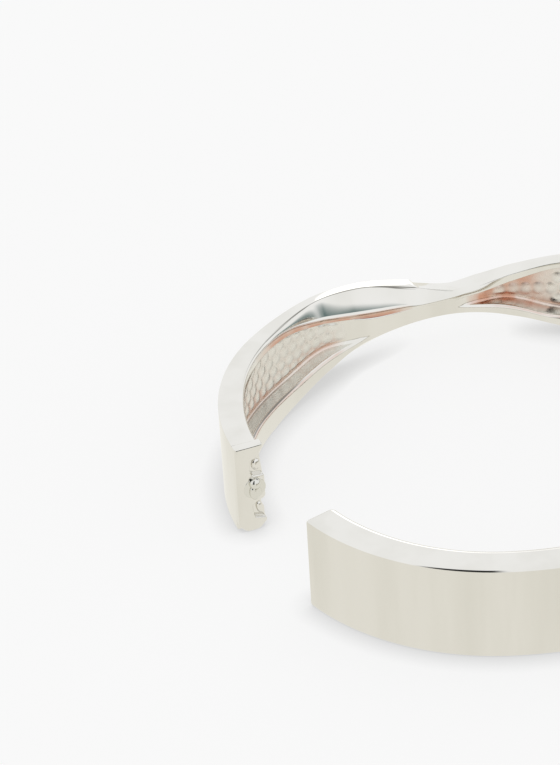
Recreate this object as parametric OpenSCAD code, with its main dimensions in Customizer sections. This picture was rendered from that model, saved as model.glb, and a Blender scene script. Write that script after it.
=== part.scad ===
// Hinged oval bangle: a crossover front half with two crystal-set leaves, a plain
// back half, a barrel hinge at one end of the long axis and a snap clasp at the other.
// The bangle lies on its lower edge (z = 0). The origin is the foot of the hinge axis.
// The clasp is on the -X side, the front half on the +Y side.

/* [Oval] */
// Half length of the oval, hinge axis to middle, on the centre line of the band (mm)
half_long = 31; // [28:0.5:34]
// Distance between the centres of neighbouring arcs; 0 would be a circle (mm)
centre_step = 11; // [8:1:13]

/* [Band] */
// Width of the band, which is its height as it lies (mm)
band_w = 11.2; // [10.5:0.1:12]
// Thickness of the band (mm)
band_t = 3.3; // [3.1:0.1:3.5]
// How much thicker than that the plain half is, on its inside (mm)
back_extra = 0.5; // [0:0.1:0.6]
// Rounding of the band's long edges (mm)
edge_r = 0.35; // [0.2:0.05:0.5]

/* [Opening] */
// How far the back half stands open as the bangle lies (degrees)
rest_open = 13.8; // [0:0.1:40]
// Gap between the two ends when the clasp is shut (mm)
end_gap = 0.2; // [0.1:0.05:0.3]

/* [Crystals] */
// Diameter of a crystal (mm)
crystal_d = 1.45; // [1.2:0.05:1.5]
// Distance from crystal to crystal along a row (mm)
crystal_pitch = 1.6; // [1.6:0.05:2]

/* [Clasp and hinge] */
// Radius of each of the snap stud's two prongs (mm)
prong_r = 0.68; // [0.6:0.02:0.72]
// How far the prongs stand out of the end plate (mm)
prong_out = 0.8; // [0.6:0.1:1.2]
// How far the stud sits inwards of the band's centre line (mm)
stud_in = 0.4; // [0:0.1:0.4]
// Radius of the hinge pin (mm)
pin_r = 0.6; // [0.5:0.05:0.8]

/* [Hidden] */
$fn = 48;
half_t = band_t / 2;
mid_z = band_w / 2;
// The oval has four arcs. Their centres and the joins between them lie on the long side of
// 3-4-5 triangles: the end arcs' centres at (+-arc_x, 0), the side arcs' at (0, +-arc_k).
join_x = 0.6;
join_y = 0.8;
arc_x = join_x * centre_step;
arc_k = join_y * centre_step;
end_radius = half_long - arc_x;
side_radius = end_radius + centre_step;
join_angle = atan2(join_y, join_x);
reach = 80;
// how far a cutting shape runs past what it cuts
over = 1;
// hinge
hinge_gap = 1.8;
knuckle_r = 1.5;
pin_fit = 0.05;
knuckle_gap = 0.15;
knuckle_end = 3.6;
arm_overlap = 0.5;
// clasp
plate_t = 1.0;
plate_corner = 0.9;
notch_h = 2.1;
notch_depth = 1.8;
notch_sink = 0.55;
notch_from_mid = 2.85;
prong_z = 0.74;
socket_fit = 0.1;
socket_w = 2.0;
socket_h = 4.8;
socket_depth = 2.6;
socket_bore = 1.4;
socket_lip = 0.1;
// front casting
cross_angle = 84;
casting_edge = 0.15;
casting_lap = 0.05;
wall_min = 0.6;
field_depth = 0.6;
field_rail = 1.25;
field_edge = 0.1;
field_least = 0.3;
field_straight = 46;
field_round = 22;
field_span = 67;
crystal_rows = 5;
crystal_h = 0.76;
seat_gap = 0.02;
seat_margin = 0.1;
seat_turn = 1.2;
row_step = crystal_pitch * sin(60);
ring_step = 2;
bridge_t = 0.5;
bridge_half = 0.3;
stud_back = end_gap / 2 + plate_t - 0.1;
cross_s = (cross_angle - 90) * PI / 180 * (side_radius + half_t);
row_places = 26;

// Sections of the front casting from the clasp (180) to the hinge (0):
// [angle, top height, crease offset, ridge offset, ridge height, lip offset, lip height,
//  rail offset, rail top height, inner foot height, recess floor offset]
// Offsets are measured outwards from the band's centre line.
SECTIONS = [
    [178, 11.2, -1.00, -1.30, 10.8, -1.34, 10.2, -1.65, 2.6, 0.0, 0.3],
    [160, 11.2, -1.00, -1.30, 10.8, -1.34, 10.1, -1.65, 2.7, 0.0, 0.3],
    [145, 11.2, -0.65, -1.05, 10.7, -1.10, 9.9, -1.65, 2.9, 0.0, 0.3],
    [130, 11.1, -0.25, -0.70, 10.5, -0.75, 9.8, -1.65, 2.8, 0.0, 0.3],
    [120, 11.0, 0.15, -0.50, 10.0, -0.55, 9.4, -1.65, 3.0, 0.8, 0.3],
    [110, 10.9, 0.50, -0.60, 8.5, -0.65, 8.1, -1.65, 3.9, 2.3, 0.2],
    [103, 10.4, 0.45, -1.05, 7.5, -1.10, 7.2, -1.65, 4.2, 3.5, -1.2],
    [97, 9.7, 0.15, -1.40, 6.9, -1.45, 6.5, -1.65, 4.6, 3.9, -1.6],
    [89, 8.3, -0.35, -1.65, 6.5, -1.65, 6.2, -1.65, 4.9, 4.2, -1.6],
    [82, 7.1, -0.60, -1.55, 6.7, -1.65, 6.2, -1.65, 5.0, 4.2, -1.6],
    [76, 7.3, -0.40, -1.10, 7.3, -1.40, 6.4, -1.65, 4.8, 3.8, -0.8],
    [70, 8.2, 0.00, -0.75, 8.2, -0.90, 7.2, -1.65, 4.3, 3.0, 0.2],
    [62, 9.3, 0.40, -0.35, 9.3, -0.50, 8.5, -1.65, 2.9, 1.7, 0.3],
    [52, 10.3, 0.50, -0.25, 10.3, -0.40, 9.5, -1.65, 2.4, 0.2, 0.3],
    [40, 10.9, 0.30, -0.40, 10.9, -0.50, 10.1, -1.65, 2.4, 0.0, 0.3],
    [22, 11.2, 0.00, -0.90, 11.1, -0.95, 10.3, -1.65, 2.4, 0.0, 0.3],
    [14, 11.2, -0.60, -1.20, 11.1, -1.22, 10.3, -1.65, 2.4, 0.0, 0.3],
    [9, 11.2, -1.20, -1.60, 11.0, -1.63, 10.3, -1.65, 2.4, 0.0, -1.6],
    [4, 11.2, -1.20, -1.60, 11.0, -1.63, 10.3, -1.65, 2.4, 0.0, -1.6]
];

// ---- the oval: phi is the direction of the outward normal, 0 at the hinge, 180 at the clasp

function mid_point(phi) =
    phi < join_angle ? [arc_x + end_radius * cos(phi), end_radius * sin(phi)]
    : phi > 180 - join_angle ? [-arc_x + end_radius * cos(phi), end_radius * sin(phi)]
    : [side_radius * cos(phi), side_radius * sin(phi) - arc_k];
function on_band(phi, off, z) = [
    mid_point(phi)[0] + off * cos(phi) - half_long,
    mid_point(phi)[1] + off * sin(phi),
    z
];

// direction of the normal at a distance s along the band's outer face, from its middle
join_s = (90 - join_angle) * PI / 180 * (side_radius + half_t);
function phi_at(s) =
    abs(s) < join_s ? 90 + s / (side_radius + half_t) * 180 / PI
    : 90 + sign(s) * (90 - join_angle + (abs(s) - join_s) / (end_radius + half_t) * 180 / PI);

// ---- front casting

// smooth curve through the sections' values
function hermite(a, b, c, d, t) =
    b + t * ((c - a) / 2 + t * ((2 * a - 5 * b + 4 * c - d) / 2 + t * (3 * b - a - 3 * c + d) / 2));
function span(phi, i = 0) =
    i >= len(SECTIONS) - 2 || SECTIONS[i + 1][0] <= phi ? i : span(phi, i + 1);
function row_of(i) = SECTIONS[max(0, min(len(SECTIONS) - 1, i))];
function blend(phi, col) =
    let (i = span(phi), t = (SECTIONS[i][0] - phi) / (SECTIONS[i][0] - SECTIONS[i + 1][0]))
    hermite(row_of(i - 1)[col], row_of(i)[col], row_of(i + 1)[col], row_of(i + 2)[col], t);

// half height of a leaf's crystal field: round at the wide end, pointed at the crossing
function from_cross(phi) = abs(phi - cross_angle);
function round_end(phi) =
    let (wide = from_cross(phi) - field_straight)
    wide < 0 ? 1 : sqrt(max(0, 1 - pow(wide / field_round, 2)));
function field_half(phi) =
    min(blend(phi, 1) - mid_z, mid_z - 0.2) * round_end(phi) - field_rail;
function field_drop(phi) =
    field_half(phi) > field_least && from_cross(phi) < field_span ? field_depth : 0;
function field_z(phi) = max(field_least, field_half(phi));

function section(phi) =
    let (
        top = min(band_w, blend(phi, 1)),
        foot_out = band_w - top,
        foot_in = max(0, blend(phi, 9)),
        drop = field_drop(phi),
        fz = field_z(phi),
        floor_off = min(blend(phi, 10), half_t - field_depth - wall_min)
    )
    [
        [half_t - casting_edge, top], [blend(phi, 2), top],
        [blend(phi, 3), blend(phi, 4)], [blend(phi, 5), blend(phi, 6)],
        [floor_off, blend(phi, 6)], [floor_off, blend(phi, 8) + field_edge],
        [blend(phi, 7), blend(phi, 8)], [blend(phi, 7), foot_in + casting_edge],
        [blend(phi, 7) + casting_edge, foot_in], [half_t - casting_edge, foot_out],
        [half_t, foot_out + casting_edge], [half_t, mid_z - fz - field_edge],
        [half_t - drop, mid_z - fz], [half_t - drop, mid_z + fz],
        [half_t, mid_z + fz + field_edge], [half_t, top - casting_edge]
    ];

casting_from = 180 - asin((end_gap / 2 + plate_t - casting_lap) / end_radius);
casting_to = asin(hinge_gap / (end_radius - half_t));
casting_rings = round((casting_from - casting_to) / ring_step);
casting_angles = [
    for (i = [0:casting_rings]) casting_from + (casting_to - casting_from) * i / casting_rings
];

// the ends' faces: the block above the recess, the wall behind it and the block below it
CAP = [[4, 13, 14, 15, 0, 1, 2, 3], [4, 5, 12, 13], [5, 6, 7, 8, 9, 10, 11, 12]];

module loft(angles) {
    rings = [for (phi = angles) [for (p = section(phi)) on_band(phi, p[0], p[1])]];
    n = len(rings[0]);
    last = len(rings) - 1;
    polyhedron(
        points = [for (ring = rings) each ring],
        faces = concat(
            CAP,
            [for (f = CAP) [for (j = [len(f) - 1:-1:0]) last * n + f[j]]],
            [for (i = [0:last - 1], j = [0:n - 1])
                [i * n + j, (i + 1) * n + j, (i + 1) * n + (j + 1) % n]],
            [for (i = [0:last - 1], j = [0:n - 1])
                [i * n + j, (i + 1) * n + (j + 1) % n, i * n + (j + 1) % n]]
        ),
        convexity = 10
    );
}

module front_casting() {
    color("silver") loft(casting_angles);
}

// ---- clasp

// upright block against the end face, between the two heights and offsets given
module end_block(off_lo, off_hi, y_lo, y_hi, z_lo, z_hi) {
    translate([off_lo - 2 * half_long, y_lo, z_lo])
        cube([off_hi - off_lo, y_hi - y_lo, z_hi - z_lo]);
}

// a rod along the closed end's direction, standing at the given height
module end_rod(r, z, y_lo, y_hi) {
    translate([stud_in - 2 * half_long, y_lo, z])
        rotate([-90, 0, 0])
            cylinder(r = r, h = y_hi - y_lo);
}

// outline of the end plate across the band: square top corners, round bottom corners
module plate_outline() {
    translate([-half_t, plate_corner])
        square([band_t, band_w - plate_corner]);
    translate([-half_t + plate_corner, 0])
        square([band_t - 2 * plate_corner, band_w]);
    for (side = [-1, 1])
        translate([side * (half_t - plate_corner), plate_corner])
            circle(r = plate_corner);
}

module clasp_plate() {
    color("silver")
        difference() {
            translate([-2 * half_long, end_gap / 2 + plate_t, 0])
                rotate([90, 0, 0])
                    linear_extrude(height = plate_t)
                        plate_outline();
            for (side = [-1, 1])
                end_block(
                    half_t - notch_depth, half_t + over, 0, end_gap / 2 + notch_sink,
                    mid_z + side * notch_from_mid - notch_h / 2,
                    mid_z + side * notch_from_mid + notch_h / 2
                );
            for (side = [-1, 1])
                end_rod(prong_r, mid_z + side * prong_z, 0, plate_t + over);
            stud_bridge(over);
        }
}

// the web that joins the two prongs inside the end plate, or with room to spare its slot
module stud_bridge(room) {
    end_block(
        stud_in - bridge_half, stud_in + bridge_half, stud_back - bridge_t, stud_back + room,
        mid_z - prong_z, mid_z + prong_z
    );
}

// two sprung prongs with domed tips, joined inside the end plate
module snap_stud() {
    color("gainsboro") {
        for (side = [-1, 1])
            translate([stud_in - 2 * half_long, 0, mid_z + side * prong_z])
                rotate([90, 0, 0])
                    rotate_extrude()
                        prong_outline();
        stud_bridge(0);
    }
}

module prong_outline() {
    shoulder = prong_out - end_gap / 2 - prong_r;
    translate([0, -stud_back])
        square([prong_r, shoulder + stud_back]);
    intersection() {
        translate([0, shoulder])
            circle(r = prong_r);
        translate([0, shoulder])
            square([prong_r, prong_r]);
    }
}

// ---- hinge

// side is 1 for an arm that runs into the front casting, -1 for one that meets the back band
module knuckle(z_lo, z_hi, side, bore_r) {
    arm = side > 0 ? hinge_gap + arm_overlap : hinge_gap;
    difference() {
        union() {
            translate([0, 0, z_lo])
                cylinder(r = knuckle_r, h = z_hi - z_lo);
            translate([-knuckle_r, side > 0 ? 0 : -arm, z_lo])
                cube([2 * knuckle_r, arm, z_hi - z_lo]);
        }
        translate([0, 0, z_lo - over])
            cylinder(r = bore_r, h = z_hi - z_lo + 2 * over);
    }
}

module front_knuckle() {
    lift = knuckle_end + knuckle_gap;
    color("silver") knuckle(lift, band_w - lift, 1, pin_r + pin_fit);
}

module swung() {
    rotate([0, 0, rest_open]) children();
}

module upper_knuckle() {
    color("silver") swung() knuckle(band_w - knuckle_end, band_w, -1, pin_r);
}

module lower_knuckle() {
    color("silver") swung() knuckle(0, knuckle_end, -1, pin_r);
}

module hinge_pin() {
    color("gainsboro") cylinder(r = pin_r, h = band_w);
}

// ---- back band

function edge_arc(cx, cz, from) = [
    for (a = [0:30:90]) [cx + edge_r * cos(from + a), cz + edge_r * sin(from + a)]
];
function band_outline(r) = concat(
    edge_arc(r + half_t - edge_r, edge_r, 270),
    edge_arc(r + half_t - edge_r, band_w - edge_r, 0),
    edge_arc(r - half_t - back_extra + edge_r, band_w - edge_r, 90),
    edge_arc(r - half_t - back_extra + edge_r, edge_r, 180)
);
// the part of a ring that lies inside a plan outline, both taken from the arc's centre
module band_arc(centre, r, plan) {
    translate([centre[0] - half_long, centre[1], 0])
        intersection() {
            rotate_extrude($fn = 180)
                polygon(band_outline(r));
            translate([0, 0, -over])
                linear_extrude(height = band_w + 2 * over)
                    polygon(plan);
        }
}

module back_band() {
    join = [join_x * reach, -join_y * reach];
    color("silver")
        swung()
            difference() {
                union() {
                    band_arc([0, arc_k], side_radius, [[0, 0], [-join[0], join[1]], join]);
                    for (side = [-1, 1])
                        band_arc(
                            [side * arc_x, 0], end_radius,
                            [[0, 0], [side * join[0], join[1]], [side * reach, join[1]], [side * reach, 0]]
                        );
                }
                translate([-half_long, -hinge_gap, -over])
                    cube([2 * half_long, 2 * hinge_gap, band_w + 2 * over]);
                translate([-3 * half_long, -end_gap / 2, -over])
                    cube([2 * half_long, over, band_w + 2 * over]);
                socket_pocket();
            }
}

module socket_pocket() {
    end_block(
        stud_in - socket_w / 2, stud_in + socket_w / 2, -socket_depth, over,
        mid_z - socket_h / 2, mid_z + socket_h / 2
    );
}

// insert that the stud snaps into
module catch_socket() {
    color("gainsboro")
        swung()
            difference() {
                end_block(
                    stud_in - socket_w / 2, stud_in + socket_w / 2,
                    -socket_depth, -end_gap / 2 - socket_lip,
                    mid_z - socket_h / 2, mid_z + socket_h / 2
                );
                for (side = [-1, 1])
                    end_rod(prong_r + socket_fit, mid_z + side * prong_z, -socket_bore, over);
                end_block(
                    stud_in - prong_r, stud_in + prong_r, -socket_bore, over,
                    mid_z - prong_z, mid_z + prong_z
                );
            }
}

// ---- crystals

function in_field(phi, z) =
    abs(z) + crystal_d / 2 + seat_margin < min(
        field_half(phi),
        field_half(phi + seat_turn),
        field_half(phi - seat_turn)
    );

module crystal() {
    rotate_extrude($fn = 24)
        polygon([
            [0, 0], [crystal_d * 0.22, 0], [crystal_d / 2, crystal_h * 0.55],
            [crystal_d / 2, crystal_h * 0.65], [crystal_d * 0.3, crystal_h], [0, crystal_h]
        ]);
}

// one row of a leaf: side is 1 towards the clasp, -1 towards the hinge
module crystal_row(row, side) {
    z = (row - (crystal_rows + 1) / 2) * row_step;
    shift = row % 2 == 0 ? 0.5 : 0;
    color("white")
        for (i = [1:row_places]) {
            phi = phi_at(cross_s + side * (i + shift) * crystal_pitch);
            if (in_field(phi, z))
                translate(on_band(phi, half_t - field_depth + seat_gap, mid_z + z))
                    rotate([0, 90, phi])
                        crystal();
        }
}

// ---- nodes

front_casting();
clasp_plate();
snap_stud();
front_knuckle();
crystal_row(1, 1);  // clasp_leaf_row_1
crystal_row(2, 1);  // clasp_leaf_row_2
crystal_row(3, 1);  // clasp_leaf_row_3
crystal_row(4, 1);  // clasp_leaf_row_4
crystal_row(5, 1);  // clasp_leaf_row_5
crystal_row(1, -1);  // hinge_leaf_row_1
crystal_row(2, -1);  // hinge_leaf_row_2
crystal_row(3, -1);  // hinge_leaf_row_3
crystal_row(4, -1);  // hinge_leaf_row_4
crystal_row(5, -1);  // hinge_leaf_row_5
back_band();
catch_socket();
upper_knuckle();
lower_knuckle();
hinge_pin();
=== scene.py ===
"""A hinged oval bangle, lying open on a pale floor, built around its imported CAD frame."""

import math

import bmesh
import bpy
from mathutils import Matrix, Vector


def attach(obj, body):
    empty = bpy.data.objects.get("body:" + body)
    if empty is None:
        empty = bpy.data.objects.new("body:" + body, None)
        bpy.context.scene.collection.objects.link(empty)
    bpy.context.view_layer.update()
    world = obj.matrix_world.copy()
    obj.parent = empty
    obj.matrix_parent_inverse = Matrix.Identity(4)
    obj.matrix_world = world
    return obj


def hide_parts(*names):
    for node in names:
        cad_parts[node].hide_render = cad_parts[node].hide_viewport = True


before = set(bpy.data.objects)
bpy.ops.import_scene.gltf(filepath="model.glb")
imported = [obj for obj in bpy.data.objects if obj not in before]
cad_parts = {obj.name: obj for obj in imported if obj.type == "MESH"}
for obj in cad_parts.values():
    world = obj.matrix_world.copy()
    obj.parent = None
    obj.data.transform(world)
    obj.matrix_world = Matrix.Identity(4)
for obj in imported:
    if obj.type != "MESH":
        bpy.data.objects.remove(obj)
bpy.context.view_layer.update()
MM = 0.001

# ---- the part's driving sizes, mm and degrees
HALF_LONG = 31.0
CENTRE_STEP = 11.0
ARC_X, ARC_K = 0.6 * CENTRE_STEP, 0.8 * CENTRE_STEP
JOIN_ANGLE = math.degrees(math.atan2(0.8, 0.6))
END_RADIUS = HALF_LONG - ARC_X
SIDE_RADIUS = END_RADIUS + CENTRE_STEP
BAND_W, BAND_T = 11.2, 3.3
BACK_EXTRA = 0.5
HALF_T, MID_Z = BAND_T / 2, BAND_W / 2
REST_OPEN = 13.8
END_GAP = 0.2
PLATE_T = 1.0
HINGE_GAP = 1.8
CRYSTAL_D, CRYSTAL_PITCH, CRYSTAL_H, CRYSTAL_ROWS = 1.45, 1.6, 0.76, 5
ROW_STEP = CRYSTAL_PITCH * math.sin(math.radians(60))
FIELD_DEPTH, FIELD_RAIL, SEAT_GAP = 0.6, 1.25, 0.02
FIELD_STRAIGHT, FIELD_ROUND, FIELD_SPAN = 46, 22, 67
FIELD_ROOM, FIELD_LEAST, FIELD_EDGE = 0.2, 0.3, 0.1
SEAT_MARGIN, SEAT_TURN = 0.1, 1.2
CROSS_ANGLE = 84.0
ROW_PLACES = 26
PRONG_R, PRONG_Z, PRONG_OUT, STUD_IN = 0.68, 0.74, 0.8, 0.4
SOCKET_W, SOCKET_H, SOCKET_DEPTH = 2.0, 4.8, 2.6

# the front casting's sections: an angle and ten measures, named here by their columns; the offsets
# are from the band's centre line, outwards, and the others are heights
TOP_Z, CREASE_OFF, RIDGE_OFF, RIDGE_Z, LIP_OFF, LIP_Z, RAIL_OFF, RAIL_Z, FOOT_Z, FLOOR_OFF = range(1, 11)
SECTIONS = [
    [178, 11.2, -1.00, -1.30, 10.8, -1.34, 10.2, -1.65, 2.6, 0.0, 0.3],
    [160, 11.2, -1.00, -1.30, 10.8, -1.34, 10.1, -1.65, 2.7, 0.0, 0.3],
    [145, 11.2, -0.65, -1.05, 10.7, -1.10, 9.9, -1.65, 2.9, 0.0, 0.3],
    [130, 11.1, -0.25, -0.70, 10.5, -0.75, 9.8, -1.65, 2.8, 0.0, 0.3],
    [120, 11.0, 0.15, -0.50, 10.0, -0.55, 9.4, -1.65, 3.0, 0.8, 0.3],
    [110, 10.9, 0.50, -0.60, 8.5, -0.65, 8.1, -1.65, 3.9, 2.3, 0.2],
    [103, 10.4, 0.45, -1.05, 7.5, -1.10, 7.2, -1.65, 4.2, 3.5, -1.2],
    [97, 9.7, 0.15, -1.40, 6.9, -1.45, 6.5, -1.65, 4.6, 3.9, -1.6],
    [89, 8.3, -0.35, -1.65, 6.5, -1.65, 6.2, -1.65, 4.9, 4.2, -1.6],
    [82, 7.1, -0.60, -1.55, 6.7, -1.65, 6.2, -1.65, 5.0, 4.2, -1.6],
    [76, 7.3, -0.40, -1.10, 7.3, -1.40, 6.4, -1.65, 4.8, 3.8, -0.8],
    [70, 8.2, 0.00, -0.75, 8.2, -0.90, 7.2, -1.65, 4.3, 3.0, 0.2],
    [62, 9.3, 0.40, -0.35, 9.3, -0.50, 8.5, -1.65, 2.9, 1.7, 0.3],
    [52, 10.3, 0.50, -0.25, 10.3, -0.40, 9.5, -1.65, 2.4, 0.2, 0.3],
    [40, 10.9, 0.30, -0.40, 10.9, -0.50, 10.1, -1.65, 2.4, 0.0, 0.3],
    [22, 11.2, 0.00, -0.90, 11.1, -0.95, 10.3, -1.65, 2.4, 0.0, 0.3],
    [14, 11.2, -0.60, -1.20, 11.1, -1.22, 10.3, -1.65, 2.4, 0.0, 0.3],
    [9, 11.2, -1.20, -1.60, 11.0, -1.63, 10.3, -1.65, 2.4, 0.0, -1.6],
    [4, 11.2, -1.20, -1.60, 11.0, -1.63, 10.3, -1.65, 2.4, 0.0, -1.6],
]


# ---- the oval: phi is the direction of the outward normal, 0 at the hinge, 180 at the clasp
def cosd(a):
    return math.cos(math.radians(a))


def sind(a):
    return math.sin(math.radians(a))


def share(x):
    """x held between 0 and 1."""
    return min(1.0, max(0.0, x))


def mid_point(phi):
    """The band's centre line, taken round the ring's centre, for phi in -180 to 180."""
    a, turn = abs(phi), 1 if phi >= 0 else -1
    if a < JOIN_ANGLE:
        return ARC_X + END_RADIUS * cosd(a), turn * END_RADIUS * sind(a)
    if a > 180 - JOIN_ANGLE:
        return -ARC_X + END_RADIUS * cosd(a), turn * END_RADIUS * sind(a)
    return SIDE_RADIUS * cosd(a), turn * (SIDE_RADIUS * sind(a) - ARC_K)


def on_band(phi, off, z):
    """A point of the closed ring, in metres."""
    x, y = mid_point(phi)
    return Vector(((x + off * cosd(phi) - HALF_LONG) * MM, (y + off * sind(phi)) * MM, z * MM))


JOIN_S = math.radians(90 - JOIN_ANGLE) * (SIDE_RADIUS + HALF_T)


def phi_at(s):
    """The normal's direction at a distance s along the front half's outer face from its middle."""
    if abs(s) < JOIN_S:
        return 90 + math.degrees(s / (SIDE_RADIUS + HALF_T))
    past = math.degrees((abs(s) - JOIN_S) / (END_RADIUS + HALF_T))
    return 90 + math.copysign(90 - JOIN_ANGLE + past, s)


def blend(phi, col):
    """A smooth curve through one column of the sections."""
    last = len(SECTIONS) - 1
    i = 0
    while i < last - 1 and SECTIONS[i + 1][0] > phi:
        i += 1
    t = (SECTIONS[i][0] - phi) / (SECTIONS[i][0] - SECTIONS[i + 1][0])
    a, b, c, d = (SECTIONS[max(0, min(last, k))][col] for k in (i - 1, i, i + 1, i + 2))
    return b + t * ((c - a) / 2 + t * ((2 * a - 5 * b + 4 * c - d) / 2 + t * (3 * b - a - 3 * c + d) / 2))


def field_half(phi):
    """Half the height of a leaf's crystal field at this angle."""
    wide = abs(phi - CROSS_ANGLE) - FIELD_STRAIGHT
    round_end = 1 if wide < 0 else math.sqrt(max(0.0, 1 - (wide / FIELD_ROUND) ** 2))
    return min(blend(phi, TOP_Z) - MID_Z, MID_Z - FIELD_ROOM) * round_end - FIELD_RAIL


def in_field(phi, z):
    """Whether a crystal at this place keeps clear of the field's edge."""
    room = min(field_half(phi), field_half(phi + SEAT_TURN), field_half(phi - SEAT_TURN))
    return abs(z) + CRYSTAL_D / 2 + SEAT_MARGIN < room


def seats(row, side):
    """Where one row's crystals sit, as (phi, height above the middle)."""
    z = (row - (CRYSTAL_ROWS + 1) / 2) * ROW_STEP
    shift = 0.5 if row % 2 == 0 else 0
    cross_s = math.radians(CROSS_ANGLE - 90) * (SIDE_RADIUS + HALF_T)
    found = []
    for i in range(1, ROW_PLACES + 1):
        phi = phi_at(cross_s + side * (i + shift) * CRYSTAL_PITCH)
        if in_field(phi, z):
            found.append((phi, z))
    return found


# ---- meshes
def new_object(name, bm, materials, smooth=True):
    mesh = bpy.data.meshes.new(name)
    bm.normal_update()
    bm.to_mesh(mesh)
    bm.free()
    for m in materials:
        mesh.materials.append(m)
    if smooth:
        mesh.shade_smooth()
    obj = bpy.data.objects.new(name, mesh)
    bpy.context.scene.collection.objects.link(obj)
    return obj


def weigh_normals(obj):
    """Shading led by the big faces, so the small rounds don't bend it."""
    m = obj.modifiers.new("even", "WEIGHTED_NORMAL")
    m.keep_sharp = True


def bevel(obj, width):
    m = obj.modifiers.new("edges", "BEVEL")
    m.width = width * MM
    m.segments = 2
    m.limit_method = "ANGLE"
    m.angle_limit = math.radians(40)
    m.harden_normals = False


def skin(bm, rings):
    """Quads between closed rings of points, capped at both ends; returns the grid of faces."""
    rows = [[bm.verts.new(p) for p in ring] for ring in rings]
    n = len(rows[0])
    grid = []
    for a, b in zip(rows, rows[1:]):
        strip = []
        for j in range(n):
            k = (j + 1) % n
            strip.append(bm.faces.new((a[j], b[j], b[k], a[k])))
        grid.append(strip)
    for cap in (rows[0], rows[-1][::-1]):
        for e in bm.faces.new(cap).edges:
            e.smooth = False
    return grid


WHOLE = 99.0
CUT_MOST = 0.42


def rounded(points, cuts, steps):
    """A closed outline with rounded corners: a cut is how far along its sides a round starts.

    A corner cut WHOLE takes all that its neighbours leave of its sides.
    """
    n = len(points)
    out = []
    for i, p in enumerate(points):
        a, b = points[i - 1], points[(i + 1) % n]
        la, lb = math.dist(p, a), math.dist(p, b)
        da, db = min(cuts[i], CUT_MOST * la), min(cuts[i], CUT_MOST * lb)
        if cuts[i] == WHOLE:
            da, db = la - min(cuts[i - 1], CUT_MOST * la), lb - min(cuts[(i + 1) % n], CUT_MOST * lb)
        pa = [p[k] + (a[k] - p[k]) * da / max(la, 1e-9) for k in (0, 1)]
        pb = [p[k] + (b[k] - p[k]) * db / max(lb, 1e-9) for k in (0, 1)]
        for s in range(steps[i] + 1):
            t = s / steps[i]
            out.append([
                (1 - t) ** 2 * pa[k] + 2 * t * (1 - t) * p[k] + t * t * pb[k] for k in (0, 1)
            ])
    return out


# ---- materials
def material(name, colour, metallic, roughness, **sockets):
    m = bpy.data.materials.new(name)
    m.use_nodes = True
    shader = m.node_tree.nodes["Principled BSDF"]
    shader.inputs["Base Color"].default_value = (*colour, 1)
    shader.inputs["Metallic"].default_value = metallic
    shader.inputs["Roughness"].default_value = roughness
    for key, value in sockets.items():
        shader.inputs[key.replace("_", " ")].default_value = value
    return m


def noise(m, scale, detail=3.0, stretch=(1, 1, 1)):
    nodes, links = m.node_tree.nodes, m.node_tree.links
    place = nodes.new("ShaderNodeTexCoord")
    mapping = nodes.new("ShaderNodeMapping")
    mapping.inputs["Scale"].default_value = stretch
    tex = nodes.new("ShaderNodeTexNoise")
    tex.inputs["Scale"].default_value = scale
    tex.inputs["Detail"].default_value = detail
    links.new(place.outputs["Object"], mapping.inputs["Vector"])
    links.new(mapping.outputs["Vector"], tex.inputs["Vector"])
    return tex.outputs["Fac"]


def ramp(m, source, stops):
    node = m.node_tree.nodes.new("ShaderNodeValToRGB")
    m.node_tree.links.new(source, node.inputs["Fac"])
    ends = node.color_ramp.elements
    while len(ends) < len(stops):
        ends.new(0.5)
    for e, (at, colour) in zip(ends, stops):
        e.position = at
        e.color = (*colour, 1) if len(colour) == 3 else (colour[0],) * 3 + (1,)
    return node.outputs["Color"]


def link(m, source, socket):
    m.node_tree.links.new(source, m.node_tree.nodes["Principled BSDF"].inputs[socket])


def bump(m, source, strength, depth_mm):
    node = m.node_tree.nodes.new("ShaderNodeBump")
    node.inputs["Strength"].default_value = strength
    node.inputs["Distance"].default_value = depth_mm * MM
    m.node_tree.links.new(source, node.inputs["Height"])
    link(m, node.outputs["Normal"], "Normal")


def gloss(m, scale, detail, low, high, stretch=(1, 1, 1)):
    """Roughness that wanders between low and high."""
    link(m, ramp(m, noise(m, scale, detail, stretch), [(0.3, (low,)), (0.75, (high,))]), "Roughness")


METAL = (0.80, 0.785, 0.74)
# the tone of the painted copper reflection and shade
PAINTED_COPPER_TONE = (0.62, 0.34, 0.24)


def painted_copper_share(m):
    """How much painted copper reflection and shade lies over the metal, in blotches."""
    given = m.node_tree.nodes.new("ShaderNodeAttribute")
    given.attribute_name = "painted_copper"
    blotch = ramp(m, noise(m, 520, 3), [(0.3, (0.45,)), (0.6, (1.0,))])
    shown = m.node_tree.nodes.new("ShaderNodeMath")
    shown.operation = "MULTIPLY"
    m.node_tree.links.new(given.outputs["Fac"], shown.inputs[0])
    m.node_tree.links.new(blotch, shown.inputs[1])
    return shown.outputs[0]


def tint(m, colour, amount):
    """The base colour: this colour, with the painted copper reflection and shade over it by this amount.
    """
    node = m.node_tree.nodes.new("ShaderNodeMix")
    node.data_type = "RGBA"
    m.node_tree.links.new(amount, node.inputs["Factor"])
    m.node_tree.links.new(colour, node.inputs[6])
    node.inputs[7].default_value = (*PAINTED_COPPER_TONE, 1)
    link(m, node.outputs[2], "Base Color")


def plate(name, streak):
    """Bright rhodium plate: faint polishing streaks in its gloss, colour and surface."""
    m = material(name, METAL, 1.0, 0.05)
    gloss(m, 900, 4, 0.03, 0.075)
    tones = [(0.3, (0.755, 0.74, 0.69)), (0.55, METAL), (0.8, (0.815, 0.80, 0.76))]
    # the colour also carries the painted copper reflection and shade, where the mesh asks for it
    tint(m, ramp(m, noise(m, 240, 3, (1, 1, streak)), tones), painted_copper_share(m))
    bump(m, noise(m, 260, 2, (1, 1, streak)), 0.5, 0.006)
    return m


polished = plate("polished_plate", 0.35)
back_plate = plate("back_plate", 0.12)

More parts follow.
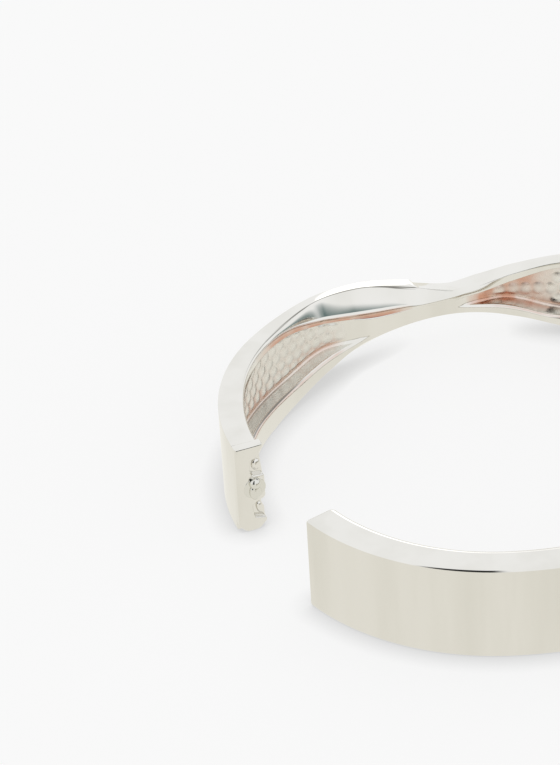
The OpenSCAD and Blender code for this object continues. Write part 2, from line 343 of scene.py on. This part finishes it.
cast = material("cast_recess", METAL, 1.0, 0.3)
gloss(cast, 1600, 4, 0.22, 0.40)
# the colour also carries the painted copper reflection and shade, where the mesh asks for it
tint(cast, ramp(cast, noise(cast, 300, 3), [(0.3, (0.77, 0.75, 0.70)), (0.7, METAL)]), painted_copper_share(cast))
bump(cast, noise(cast, 1500, 4), 0.4, 0.02)

satin = material("satin_shelf", METAL, 1.0, 0.3)
gloss(satin, 700, 3, 0.18, 0.28)
satin_tones = [(0.3, (0.76, 0.76, 0.70)), (0.7, (0.82, 0.81, 0.76))]
tint(satin, ramp(satin, noise(satin, 200, 3), satin_tones), painted_copper_share(satin))
bump(satin, noise(satin, 500, 2), 0.3, 0.02)

stud_metal = material("stud_metal", (0.74, 0.73, 0.68), 1.0, 0.06)
gloss(stud_metal, 1400, 3, 0.04, 0.12)

steel = material("pin_steel", (0.62, 0.61, 0.58), 1.0, 0.2)
gloss(steel, 1200, 3, 0.14, 0.3, (1, 1, 0.1))

socket_metal = material("socket_metal", (0.55, 0.53, 0.49), 1.0, 0.24)
gloss(socket_metal, 1200, 3, 0.2, 0.36)

gem = material("crystal", (1, 1, 1), 0.0, 0.0, IOR=1.75, Transmission_Weight=1.0)
gem_tones = [(0.3, (0.98, 0.985, 1.0)), (0.7, (1.0, 1.0, 1.0))]
link(gem, ramp(gem, noise(gem, 300, 2), gem_tones), "Base Color")


# ---- front casting
WALL_STEPS = 34
RINGS = 560
BUMP_HEIGHT, BUMP_RADIUS = 0.2, 0.9
# how much painted copper reflection and shade lies round some corners of the section, the top outer
# one being 0: in the recesses, along the left recess's rim, and at the right recess's tip
CORNER_PAINTED_COPPER = {5: (0.3, 0.3), 6: (0.85, 0.0), 7: (0.0, 0.0, 0.6, 0.0, 0.0)}
RIM_PAINTED_COPPER = {3: (0.5, 0.9), 4: (0.9, 0.9)}
TIP_PAINTED_COPPER = {5: (1.0, 1.0), 6: (1.0, 1.0)}
# how far the slope under the crease is bowed, and how steep its foot may get, in degrees
SLOPE_TURN, SLOPE_FOOT, FOOT_LIFT = 24, 20, 2.5
# how far the casting's edges are rounded, and the thinnest wall behind a recess
OUTER_EDGE, FOOT_EDGE, SIDE_EDGE, FIELD_ROUNDING = 0.08, 0.1, 0.05, 0.06
CREASE_EDGE, CREASE_AT_CLASP, CREASE_TUCKED = 0.04, 0.5, 0.2
RIDGE_EDGE, RIDGE_BY_CLASP = 0.08, 0.17
WALL_MIN, FOOT_CHAMFER, FOOT_STEP = 0.6, 0.15, 0.2
# the top turns outwards from this angle on, and its outer edge drops by this much
FACET_ANGLE, FACET_FALL = 88.6, 0.37


def slope_bend(a, b, lean_a, lean_b):
    """Where the slope's two end tangents meet: it leans lean_a degrees at a and lean_b at b."""
    ta, tb = (sind(lean_a), cosd(lean_a)), (sind(lean_b), cosd(lean_b))
    cross = ta[0] * tb[1] - ta[1] * tb[0]
    da = (a[0] - b[0], a[1] - b[1])
    if abs(cross) < 0.02:
        return (a[0] + b[0]) / 2, (a[1] + b[1]) / 2
    run = (da[0] * tb[1] - da[1] * tb[0]) / cross
    return a[0] - run * ta[0], a[1] - run * ta[1]


def section(phi):
    """The casting's section as corners (offset, height, how far it is rounded, steps in the round).

    It starts at the top outer corner and runs inwards, down the recess, out along the foot and up.
    """
    top = min(BAND_W, blend(phi, TOP_Z))
    foot_out, foot_in = BAND_W - top, max(0.0, blend(phi, FOOT_Z))
    field = field_half(phi)
    drop = FIELD_DEPTH if field > FIELD_LEAST and abs(phi - CROSS_ANGLE) < FIELD_SPAN else 0.0
    fz = max(FIELD_LEAST, field)
    rail, rail_top, lip_z = blend(phi, RAIL_OFF), blend(phi, RAIL_Z), blend(phi, LIP_Z)
    floor_off = min(blend(phi, FLOOR_OFF), HALF_T - FIELD_DEPTH - WALL_MIN)
    depth = share((floor_off - rail - 0.05) / 0.3)
    floor_off = rail + (floor_off - rail) * depth
    crease = (blend(phi, CREASE_OFF), top)
    ridge = (blend(phi, RIDGE_OFF), blend(phi, RIDGE_Z))
    lip = (blend(phi, LIP_OFF), lip_z)
    lean = math.degrees(math.atan2(crease[0] - ridge[0], max(0.05, crease[1] - ridge[1])))
    turn = SLOPE_TURN * share((phi - 88) / 6) * share(lean / 20)
    foot = SLOPE_FOOT + FOOT_LIFT * share((phi - 103) / 6)
    bend = slope_bend(crease, ridge, lean + turn, lean - min(turn, max(0.0, lean - foot)))
    tuck = min(share((98 - phi) / 5), share((phi - 88.2) / 0.6))
    crease_cut = CREASE_EDGE + CREASE_AT_CLASP * share((phi - 112) / 12) + CREASE_TUCKED * tuck
    ridge_cut = RIDGE_EDGE + RIDGE_BY_CLASP * share((phi - 72) / 8)
    fall = FACET_FALL * share((FACET_ANGLE - phi) / 0.5) * share((phi - 76) / 5)
    return [
        (HALF_T, top - fall, OUTER_EDGE, 5), (*crease, crease_cut, 5), (*bend, WHOLE, 14),
        (*ridge, ridge_cut, 5), (*lip, 0.05 + 0.25 * depth, 4),
        (floor_off, lip_z, 0.3, 3), (floor_off, rail_top + 0.25, 0.45, 4),
        (rail, rail_top, 0.05 + 0.5 * depth, 7), (rail, foot_in + FOOT_CHAMFER, FOOT_EDGE, 2),
        (rail + FOOT_STEP, foot_in, FOOT_EDGE, 2), (HALF_T - FOOT_CHAMFER, foot_out, FOOT_EDGE, 2),
        (HALF_T, foot_out + FOOT_STEP, FOOT_EDGE, 2),
        (HALF_T, MID_Z - fz - FIELD_EDGE, FIELD_ROUNDING, 2),
        (HALF_T - drop, MID_Z - fz, FIELD_ROUNDING, 2), (HALF_T - drop, MID_Z + fz, FIELD_ROUNDING, 2),
        (HALF_T, MID_Z + fz + FIELD_EDGE, FIELD_ROUNDING, 2), (HALF_T, top - 0.45, SIDE_EDGE, 2),
    ]


# the recess wall runs down from this corner of the section
WALL_CORNER = 5
# seats this many degrees away still swell the wall, and the swellings fade at its top and foot
SEAT_REACH, FADE = 1.6, 1.2
# the part of the casting that counts as recess starts at this depth and is full after as much again
RECESS_DEEP, RECESS_FROM = 0.8, 0.15
ALL_SEATS = [s for side in (1, -1) for row in range(1, CRYSTAL_ROWS + 1) for s in seats(row, side)]


def bump_at(phi, z, near):
    """How far the recess wall swells over the back of a crystal's seat."""
    best = 0.0
    for seat_phi, seat_z in near:
        d = math.hypot(math.radians(seat_phi - phi) * SIDE_RADIUS, seat_z + MID_Z - z)
        if d < BUMP_RADIUS:
            best = max(best, 1 - (d / BUMP_RADIUS) ** 2)
    return best


def along(stops, t):
    """The value at t, 0 to 1, of evenly spaced stops; no stops count as 0."""
    if not stops:
        return 0.0
    i = min(int(t * (len(stops) - 1)), len(stops) - 2)
    return stops[i] + (stops[i + 1] - stops[i]) * (t * (len(stops) - 1) - i)


def front_casting():
    """The crossover half, ring by ring from the clasp to the hinge."""
    start = 180 - math.degrees(math.asin((END_GAP / 2 + PLATE_T - 0.05) / END_RADIUS))
    stop = math.degrees(math.asin(HINGE_GAP / (END_RADIUS - HALF_T)))
    rings, painted_copper_rings, depths, wall_from, shelf_to = [], [], [], 0, 0
    for i in range(RINGS + 1):
        phi = start + (stop - start) * i / RINGS
        corners = section(phi)
        outline = rounded([c[:2] for c in corners], [c[2] for c in corners], [c[3] for c in corners])
        counts = [c[3] + 1 for c in corners]
        wall_from = sum(counts[:WALL_CORNER + 1]) - 1
        shelf_to = sum(counts[:WALL_CORNER + 2]) + WALL_STEPS
        top_p, low_p = outline[wall_from], outline[wall_from + 1]
        near = [s for s in ALL_SEATS if abs(s[0] - phi) < SEAT_REACH]
        wall, height = [], top_p[1] - low_p[1]
        deep = share((top_p[0] - blend(phi, RAIL_OFF) - RECESS_DEEP) / RECESS_DEEP)
        rim = share((phi - 90) / 4) * share((136 - phi) / 12)
        tip = share((79 - phi) / 3) * share((phi - 60) / 8)
        for k in range(1, WALL_STEPS):
            t = k / WALL_STEPS
            off, z = (top_p[j] + (low_p[j] - top_p[j]) * t for j in (0, 1))
            fade = min(1.0, 4 * t * height / FADE, 4 * (1 - t) * height / FADE)
            b = bump_at(phi, z, near)
            # painted copper reflection and shade on the recess wall: more towards its foot, between the
            # seats and at the right recess's tip
            painted_copper = max((1 - b) ** 1.5 * (0.1 + 0.7 * t ** 3) * deep, tip * (1 - 0.6 * b))
            wall.append((off - BUMP_HEIGHT * b * fade * deep, z, painted_copper))
        ring = [on_band(phi, off, z) for off, z in outline]
        shares = ((CORNER_PAINTED_COPPER, deep), (RIM_PAINTED_COPPER, rim), (TIP_PAINTED_COPPER, tip))
        painted_copper_ring = [
            max(along(c.get(k), i / (n - 1)) * much for c, much in shares)
            for k, n in enumerate(counts) for i in range(n)
        ]
        ring[wall_from + 1:wall_from + 1] = [on_band(phi, off, z) for off, z, _ in wall]
        painted_copper_ring[wall_from + 1:wall_from + 1] = [c for _, _, c in wall]
        rings.append(ring)
        painted_copper_rings.append(painted_copper_ring)
        depths.append(deep)
    surfaces = [polished, cast, satin]
    bm = bmesh.new()
    # each point's share of painted copper reflection and shade
    layer = bm.verts.layers.float.new("painted_copper")
    grid = skin(bm, rings)
    for v, c in zip(bm.verts, [c for painted_copper_ring in painted_copper_rings for c in painted_copper_ring]):
        v[layer] = c
    for deep, strip in zip(depths, grid):
        if deep > RECESS_FROM:
            for j, f in enumerate(strip[wall_from:shelf_to]):
                f.material_index = surfaces.index(cast if j < WALL_STEPS else satin)
    bmesh.ops.recalc_face_normals(bm, faces=bm.faces)
    obj = new_object("front_casting_body", bm, surfaces)
    weigh_normals(obj)
    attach(obj, "front_half")
    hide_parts("front_casting")


front_casting()


# ---- back band
def at_end(u, y, z):
    """A point at the clasp end: u is across the band, inwards."""
    return Vector(((u - 2 * HALF_LONG) * MM, y * MM, z * MM))


def swing(p):
    """A point of the closed back half, turned about the hinge to where it rests."""
    c, s = cosd(REST_OPEN), sind(REST_OPEN)
    return Vector((c * p.x - s * p.y, s * p.x + c * p.y, p.z))


def back_band():
    """The plain half: the socket's pocket, the rounded clasp end, then rings on to the hinge."""
    clasp = -(180 - math.degrees(math.asin((END_GAP / 2) / END_RADIUS)))
    hinge = -math.degrees(math.asin(HINGE_GAP / END_RADIUS))
    count = 360
    end_out, end_in, edge, inner_edge = 0.25, 0.6, 0.38, 0.75
    arc_step = 6
    stations = []
    for k in range(arc_step + 1):
        t = k / arc_step
        stations.append(end_in * (1 - math.cos(t * math.pi / 2)))
    turns = [math.degrees(s / END_RADIUS) for s in stations]
    angles = [clasp + a for a in turns] + [
        clasp + turns[-1] + (hinge - clasp - turns[-1]) * i / count for i in range(1, count + 1)
    ]

    def inset(s, r):
        return 0.0 if s >= r else r - math.sqrt(max(0.0, r * r - (r - s) ** 2))

    rings = []
    for k, phi in enumerate(angles):
        s = stations[k] if k < len(stations) else end_in
        o, i, e = inset(s, end_out), inset(s, end_in), inset(s, edge)
        points = [
            (HALF_T - o, e), (HALF_T - o, BAND_W - e),
            (i - HALF_T - BACK_EXTRA, BAND_W - e), (i - HALF_T - BACK_EXTRA, e),
        ]
        cuts = [max(0.05, edge - e * 0.5)] * 2 + [max(0.05, inner_edge - e * 0.5)] * 2
        rings.append([swing(on_band(phi, off, z)) for off, z in rounded(points, cuts, [6] * 4)])
    low, high = MID_Z - SOCKET_H / 2, MID_Z + SOCKET_H / 2
    pocket = rounded([
        (SOCKET_W / 2 - STUD_IN, low), (SOCKET_W / 2 - STUD_IN, high),
        (-SOCKET_W / 2 - STUD_IN, high), (-SOCKET_W / 2 - STUD_IN, low),
    ], [0.08] * 4, [6] * 4)
    rings[:0] = [
        [swing(at_end(-off, y, z)) for off, z in pocket] for y in (-SOCKET_DEPTH, -END_GAP / 2)
    ]
    bm = bmesh.new()
    skin(bm, rings)
    bmesh.ops.recalc_face_normals(bm, faces=bm.faces)
    obj = new_object("back_band_body", bm, [back_plate])
    weigh_normals(obj)
    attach(obj, "back_half")
    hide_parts("back_band")


back_band()


# ---- clasp: across the band is x + 2 * HALF_LONG, inwards; the end's face looks along -Y
PLATE_FACE = END_GAP / 2
NOTCH_DEEP = 0.55
PLATE_OUTLINE = [
    (-1.65, 11.2), (1.65, 11.2), (1.65, 10.7), (0.75, 9.45), (0.05, 9.2), (0.0, 7.6), (0.35, 7.2),
    (1.65, 7.1), (1.65, 4.05), (0.66, 3.7), (0.04, 3.3), (0.25, 1.75), (1.65, 1.35), (1.65, 0.9),
    (0.75, 0.0), (-0.75, 0.0), (-1.65, 0.9),
]
PLATE_CUTS = [0.12, 0.2, 0.1, 0.3, 0.3, 0.2, 0.2, 0.3, 0.45, 0.25, 0.25, 0.2, 0.3, 0.15, 0.4, 0.4, 0.4]
BACK_OUTLINE = [
    (-1.65, 11.2), (1.65, 11.2), (1.65, 10.6), (1.35, 9.6), (1.6, 7.1), (1.62, 4.05), (1.2, 3.4),
    (1.6, 1.4), (1.65, 0.9), (0.75, 0.0), (-0.75, 0.0), (-1.65, 0.9),
]
BACK_CUTS = [0.12, 0.12, 0.2, 0.5, 0.5, 0.3, 0.3, 0.4, 0.15, 0.4, 0.4, 0.4]


def slab(bm, outline, y0, y1, edge, shrink=0.0):
    """A flat plate whose front edges are rounded: its outline runs clockwise seen from -Y."""
    steps = 5
    n = len(outline)
    rings = []
    for k in range(steps + 2):
        a = math.pi / 2 * min(k, steps) / steps
        y = y0 + edge * (1 - math.cos(a)) if k <= steps else y1
        inset = shrink + edge * (1 - math.sin(a))
        ring = []
        for i, (u, z) in enumerate(outline):
            after, before = outline[(i + 1) % n], outline[i - 1]
            tu, tz = after[0] - before[0], after[1] - before[1]
            size = max(math.hypot(tu, tz), 1e-6)
            ring.append(at_end(u + tz / size * inset, y, z - tu / size * inset))
        rings.append(ring)
    skin(bm, rings)


def clasp_plate():
    """The end wall: a notched slab on a plain one, with a bead in each notch."""
    bm = bmesh.new()
    front = rounded(PLATE_OUTLINE, PLATE_CUTS, [4] * len(PLATE_OUTLINE))
    back = rounded(BACK_OUTLINE, BACK_CUTS, [4] * len(BACK_OUTLINE))
    slab(bm, front, PLATE_FACE, PLATE_FACE + NOTCH_DEEP + 0.12, 0.2)
    slab(bm, back, PLATE_FACE + NOTCH_DEEP, PLATE_FACE + PLATE_T, 0.05, 0.01)
    root = PLATE_FACE + NOTCH_DEEP + 0.1
    revolve(bm, 0.86, 8.35, dome(0.55, root, root - 0.1, PLATE_FACE + 0.2), 1.3)
    revolve(bm, 1.0, 2.6, dome(0.42, root, root - 0.1, PLATE_FACE + 0.2), 1.9, 0.35)
    bmesh.ops.recalc_face_normals(bm, faces=bm.faces)
    obj = new_object("clasp_plate_body", bm, [polished])
    weigh_normals(obj)
    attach(obj, "front_half")
    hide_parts("clasp_plate")


def revolve(bm, centre_u, centre_z, profile, squash=1.0, lean=0.0):
    """A turned shape on the end's axis, drawn out by squash in height; profile is (radius, y)."""
    count = 40
    ways = [(cosd(360 * k / count), sind(360 * k / count)) for k in range(count)]
    skin(bm, [
        [at_end(centre_u + r * (c - lean * s), y, centre_z + squash * r * s) for c, s in ways]
        for r, y in profile
    ])


def dome(r, root, shoulder, tip):
    """The profile of a post that is round-headed from its shoulder to its tip."""
    steps = 8
    turns = [90 * k / steps for k in range(1, steps + 1)]
    return [(r, root), (r, shoulder)] + [
        (r * cosd(a) + 0.01, shoulder - (shoulder - tip) * sind(a)) for a in turns
    ]


def snap_stud():
    """The stud: a round flange with an upper and a lower prong."""
    bm = bmesh.new()
    flange, face, root = 1.3, PLATE_FACE, PLATE_FACE + 0.3
    revolve(bm, STUD_IN, MID_Z, [
        (flange, face + 0.2), (flange, face), (flange - 0.03, face - 0.04),
        (flange - 0.1, face - 0.05), (0.3, face - 0.05),
    ])
    upper = dome(PRONG_R, root, face - 0.1, face - PRONG_OUT + 0.02)
    lower = dome(PRONG_R, root, face - 0.12, face - 0.5)
    revolve(bm, STUD_IN, MID_Z + PRONG_Z, upper)
    revolve(bm, STUD_IN, MID_Z - 0.45, lower, 1.4)
    bmesh.ops.recalc_face_normals(bm, faces=bm.faces)
    obj = new_object("snap_stud_body", bm, [stud_metal])
    weigh_normals(obj)
    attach(obj, "front_half")
    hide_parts("snap_stud")


clasp_plate()
snap_stud()

# ---- CAD nodes that keep their shape
for name, m in {
    "front_knuckle": polished, "catch_socket": socket_metal, "upper_knuckle": back_plate,
    "lower_knuckle": back_plate, "hinge_pin": steel,
}.items():
    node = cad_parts[name]
    for s in node.material_slots:
        s.material = m
    bevel(node, 0.1)


# ---- crystals
def brilliant():
    """Rings of a round brilliant, from the table down, as (radius, height, turn)."""
    r = CRYSTAL_D / 2
    return [
        (0.56 * r, CRYSTAL_H, 0.5), (0.80 * r, 0.90 * CRYSTAL_H, 0.0),
        (0.995 * r, 0.66 * CRYSTAL_H, 0.5), (0.995 * r, 0.60 * CRYSTAL_H, 0.5),
        (0.55 * r, 0.30 * CRYSTAL_H, 0.0),
    ]


def crystal(bm, phi, z):
    """One eight-sided brilliant on its seat."""
    facets = 8
    spot = on_band(phi, HALF_T - FIELD_DEPTH + SEAT_GAP, MID_Z + z)
    out, up = Vector((cosd(phi), sind(phi), 0)), Vector((0, 0, 1))
    across = up.cross(out)
    rings = []
    for r, h, turn in brilliant():
        ring = []
        for k in range(facets):
            a = 360 * (k + turn) / facets
            p = spot + (across * (r * cosd(a)) + up * (r * sind(a)) + out * h) * MM
            ring.append(bm.verts.new(p))
        rings.append((ring, turn))
    tip = bm.verts.new(spot + out * (0.01 * MM))
    bm.faces.new(rings[0][0])
    for (a, ta), (b, tb) in zip(rings, rings[1:]):
        for k in range(facets):
            k2 = (k + 1) % facets
            if ta == tb:
                bm.faces.new((a[k], b[k], b[k2], a[k2]))
            elif ta > tb:
                bm.faces.new((a[k], b[k2], a[k2]))
                bm.faces.new((a[k], b[k], b[k2]))
            else:
                bm.faces.new((a[k], b[k], a[k2]))
                bm.faces.new((b[k], b[k2], a[k2]))
    last = rings[-1][0]
    for k in range(facets):
        bm.faces.new((last[k], tip, last[(k + 1) % facets]))


def crystals():
    """One piece for each row of each leaf."""
    for side, leaf in ((1, "clasp_leaf"), (-1, "hinge_leaf")):
        for row in range(1, CRYSTAL_ROWS + 1):
            bm = bmesh.new()
            for phi, z in seats(row, side):
                crystal(bm, phi, z)
            bmesh.ops.recalc_face_normals(bm, faces=bm.faces)
            obj = new_object(f"{leaf}_crystals_{row}", bm, [gem], smooth=False)
            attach(obj, "front_half")
            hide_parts(f"{leaf}_row_{row}")


crystals()


# ---- floor, light and camera
def wire(tree, kind, **inputs):
    """A new node; i0 is its first input: a socket given for it is linked, any other is its value."""
    node = tree.nodes.new(kind)
    for key, value in inputs.items():
        socket = node.inputs[int(key[1:])]
        if isinstance(value, bpy.types.NodeSocket):
            tree.links.new(value, socket)
        else:
            socket.default_value = value
    return node


def maths(tree, operation, a, b=0.0):
    """The result of one math node."""
    node = wire(tree, "ShaderNodeMath", i0=a, i1=b)
    node.operation = operation
    return node.outputs[0]


def within(tree, value, low, high, soft):
    """1 where low < value < high, with edges this soft."""
    away = maths(tree, "ABSOLUTE", maths(tree, "SUBTRACT", value, (low + high) / 2))
    half = (high - low) / 2
    node = wire(tree, "ShaderNodeMapRange", i0=away, i1=half - soft, i2=half + soft, i3=1.0, i4=0.0)
    node.interpolation_type = "SMOOTHSTEP"
    return node.outputs[0]


def paint(tree, under, mask, colour):
    """This colour over the one under it, where the mask says."""
    node = tree.nodes.new("ShaderNodeMix")
    node.data_type = "RGBA"
    tree.links.new(mask, node.inputs["Factor"])
    for socket, value in ((node.inputs[6], under), (node.inputs[7], colour)):
        if isinstance(value, bpy.types.NodeSocket):
            tree.links.new(value, socket)
        else:
            socket.default_value = (*value, 1)
    return node.outputs[2]


# the paper as the camera sees it, how much of that is lit, and how far and how dark its painted contact
# shadow gets under an edge
PAPER = 0.947
FLOOR_ALBEDO = 0.16
CONTACT_MM, CONTACT_GLOW = 3.0, 0.55
# what the metal mirrors: the floor, a blue-green card and a dark flag
NEAR_FLOOR = (0.90, 0.885, 0.83)
TEAL, DARK = (0.10, 0.17, 0.17), (0.04, 0.04, 0.04)


def stage():
    """The paper floor, with a painted contact shadow close under the object; the metal mirrors it in one
    plain tone.
    """
    bm = bmesh.new()
    half = 4.0
    for x, y in ((-half, -half), (half, -half), (half, half), (-half, half)):
        bm.verts.new((x, y, 0))
    bm.faces.new(bm.verts)
    paper = bpy.data.materials.new("floor_paper")
    paper.use_nodes = True
    tree = paper.node_tree
    tree.nodes.clear()
    # painted contact shadow: the floor's glow is dimmed where an occlusion test finds the object close
    # above it
    contact_shadow = tree.nodes.new("ShaderNodeAmbientOcclusion")
    contact_shadow.inputs["Distance"].default_value = CONTACT_MM * MM
    contact_shadow.samples = 8
    grain = wire(tree, "ShaderNodeTexNoise")
    grain.inputs["Scale"].default_value = 40
    fleck = 0.004
    shade = wire(
        tree, "ShaderNodeMapRange", i0=grain.outputs["Fac"], i3=FLOOR_ALBEDO - fleck,
        i4=FLOOR_ALBEDO + fleck,
    )
    matt = wire(tree, "ShaderNodeBsdfDiffuse", i0=shade.outputs[0])
    lift = wire(
        tree, "ShaderNodeMapRange", i0=contact_shadow.outputs["AO"], i1=0.35, i3=CONTACT_GLOW,
        i4=PAPER - FLOOR_ALBEDO,
    )
    glow = wire(tree, "ShaderNodeEmission", i0=(1, 1, 1, 1), i1=lift.outputs[0])
    seen = wire(tree, "ShaderNodeAddShader", i0=matt.outputs[0], i1=glow.outputs[0])
    mirrored = wire(tree, "ShaderNodeEmission", i0=(*NEAR_FLOOR, 1))
    path = tree.nodes.new("ShaderNodeLightPath")
    mixed = wire(
        tree, "ShaderNodeMixShader", i0=path.outputs["Is Glossy Ray"], i1=seen.outputs[0],
        i2=mirrored.outputs[0],
    )
    out = tree.nodes.new("ShaderNodeOutputMaterial")
    tree.links.new(mixed.outputs[0], out.inputs["Surface"])
    floor = new_object("floor", bm, [paper], smooth=False)


stage()

# panels and flags round the object: azimuths from +Y towards +X, elevations, edge softness, colour
CARDS = [
    (48, 90, 26, 60, 9, (0.30, 0.30, 0.29)),
    (119, 168, -20, 7, 4, TEAL),
    (95, 117, -20, 3.5, 3, TEAL),
    (-156, -122, -2, 76, 5, DARK),
]
# the bright panel leans: its elevations are those at azimuth PANEL_AT, and fall by PANEL_SLANT a degree
PANEL = (25, 38, 18, 30.5, 1, (1.7, 1.7, 1.7))
PANEL_SLANT, PANEL_AT = 1.27, 25
SURROUND = (1.02, 1.03, 1.05)


def light():
    """A white studio that lights everything; the metal mirrors the cards and the panel in it."""
    world = bpy.data.worlds.new("studio")
    bpy.context.scene.world = world
    world.cycles.sampling_method = "NONE"
    world.use_nodes = True
    tree = world.node_tree
    tree.nodes.clear()
    place = tree.nodes.new("ShaderNodeTexCoord")
    way = wire(tree, "ShaderNodeSeparateXYZ", i0=place.outputs["Generated"])
    az = maths(tree, "DEGREES", maths(tree, "ARCTAN2", way.outputs[0], way.outputs[1]))
    el = maths(tree, "DEGREES", maths(tree, "ARCSINE", way.outputs[2]))
    lean = maths(tree, "MULTIPLY", maths(tree, "SUBTRACT", az, PANEL_AT), PANEL_SLANT)
    slid = maths(tree, "ADD", el, lean)
    colour = SURROUND
    for card, height in [(PANEL, slid)] + [(c, el) for c in CARDS]:
        az0, az1, el0, el1, soft, shown = card
        high = within(tree, height, el0, el1, soft)
        mask = maths(tree, "MULTIPLY", high, within(tree, az, az0, az1, soft))
        colour = paint(tree, colour, mask, shown)
    mirrored = wire(tree, "ShaderNodeBackground", i0=colour, i1=1.0)
    plain = wire(tree, "ShaderNodeBackground", i0=(1, 1, 1, 1), i1=1.0)
    paper = wire(tree, "ShaderNodeBackground", i0=(1, 1, 1, 1), i1=PAPER)
    path = tree.nodes.new("ShaderNodeLightPath")
    lit = wire(
        tree, "ShaderNodeMixShader", i0=path.outputs["Is Diffuse Ray"], i1=mirrored.outputs[0],
        i2=plain.outputs[0],
    )
    seen = wire(
        tree, "ShaderNodeMixShader", i0=path.outputs["Is Camera Ray"], i1=lit.outputs[0],
        i2=paper.outputs[0],
    )
    out = tree.nodes.new("ShaderNodeOutputWorld")
    tree.links.new(seen.outputs[0], out.inputs["Surface"])


light()

VIEW_AZ, VIEW_EL, VIEW_ROLL = -20.626, 33.135, -3.589
VIEW_DISTANCE = 0.4
AIM = Vector((-0.047958, 0.026434, 0.0))
IMAGE_H, FOCAL_PX, SENSOR = 765, 3385.6, 36.0


def camera():
    """The photo's viewing angle: back points from the object to the camera."""
    back = Vector((sind(VIEW_AZ) * cosd(VIEW_EL), -cosd(VIEW_AZ) * cosd(VIEW_EL), sind(VIEW_EL)))
    right = Vector((cosd(VIEW_AZ), sind(VIEW_AZ), 0))
    up = back.cross(right)
    across = right * cosd(VIEW_ROLL) + up * sind(VIEW_ROLL)
    upward = up * cosd(VIEW_ROLL) - right * sind(VIEW_ROLL)
    data = bpy.data.cameras.new("camera")
    data.sensor_width = SENSOR
    data.lens = SENSOR * FOCAL_PX / IMAGE_H
    data.clip_start, data.clip_end = 0.01, 20
    cam = bpy.data.objects.new("camera", data)
    bpy.context.scene.collection.objects.link(cam)
    turn = Matrix((across, upward, back)).transposed().to_4x4()
    cam.matrix_world = Matrix.Translation(AIM + back * VIEW_DISTANCE) @ turn
    bpy.context.scene.camera = cam


camera()
bpy.context.scene.view_settings.view_transform = "Standard"
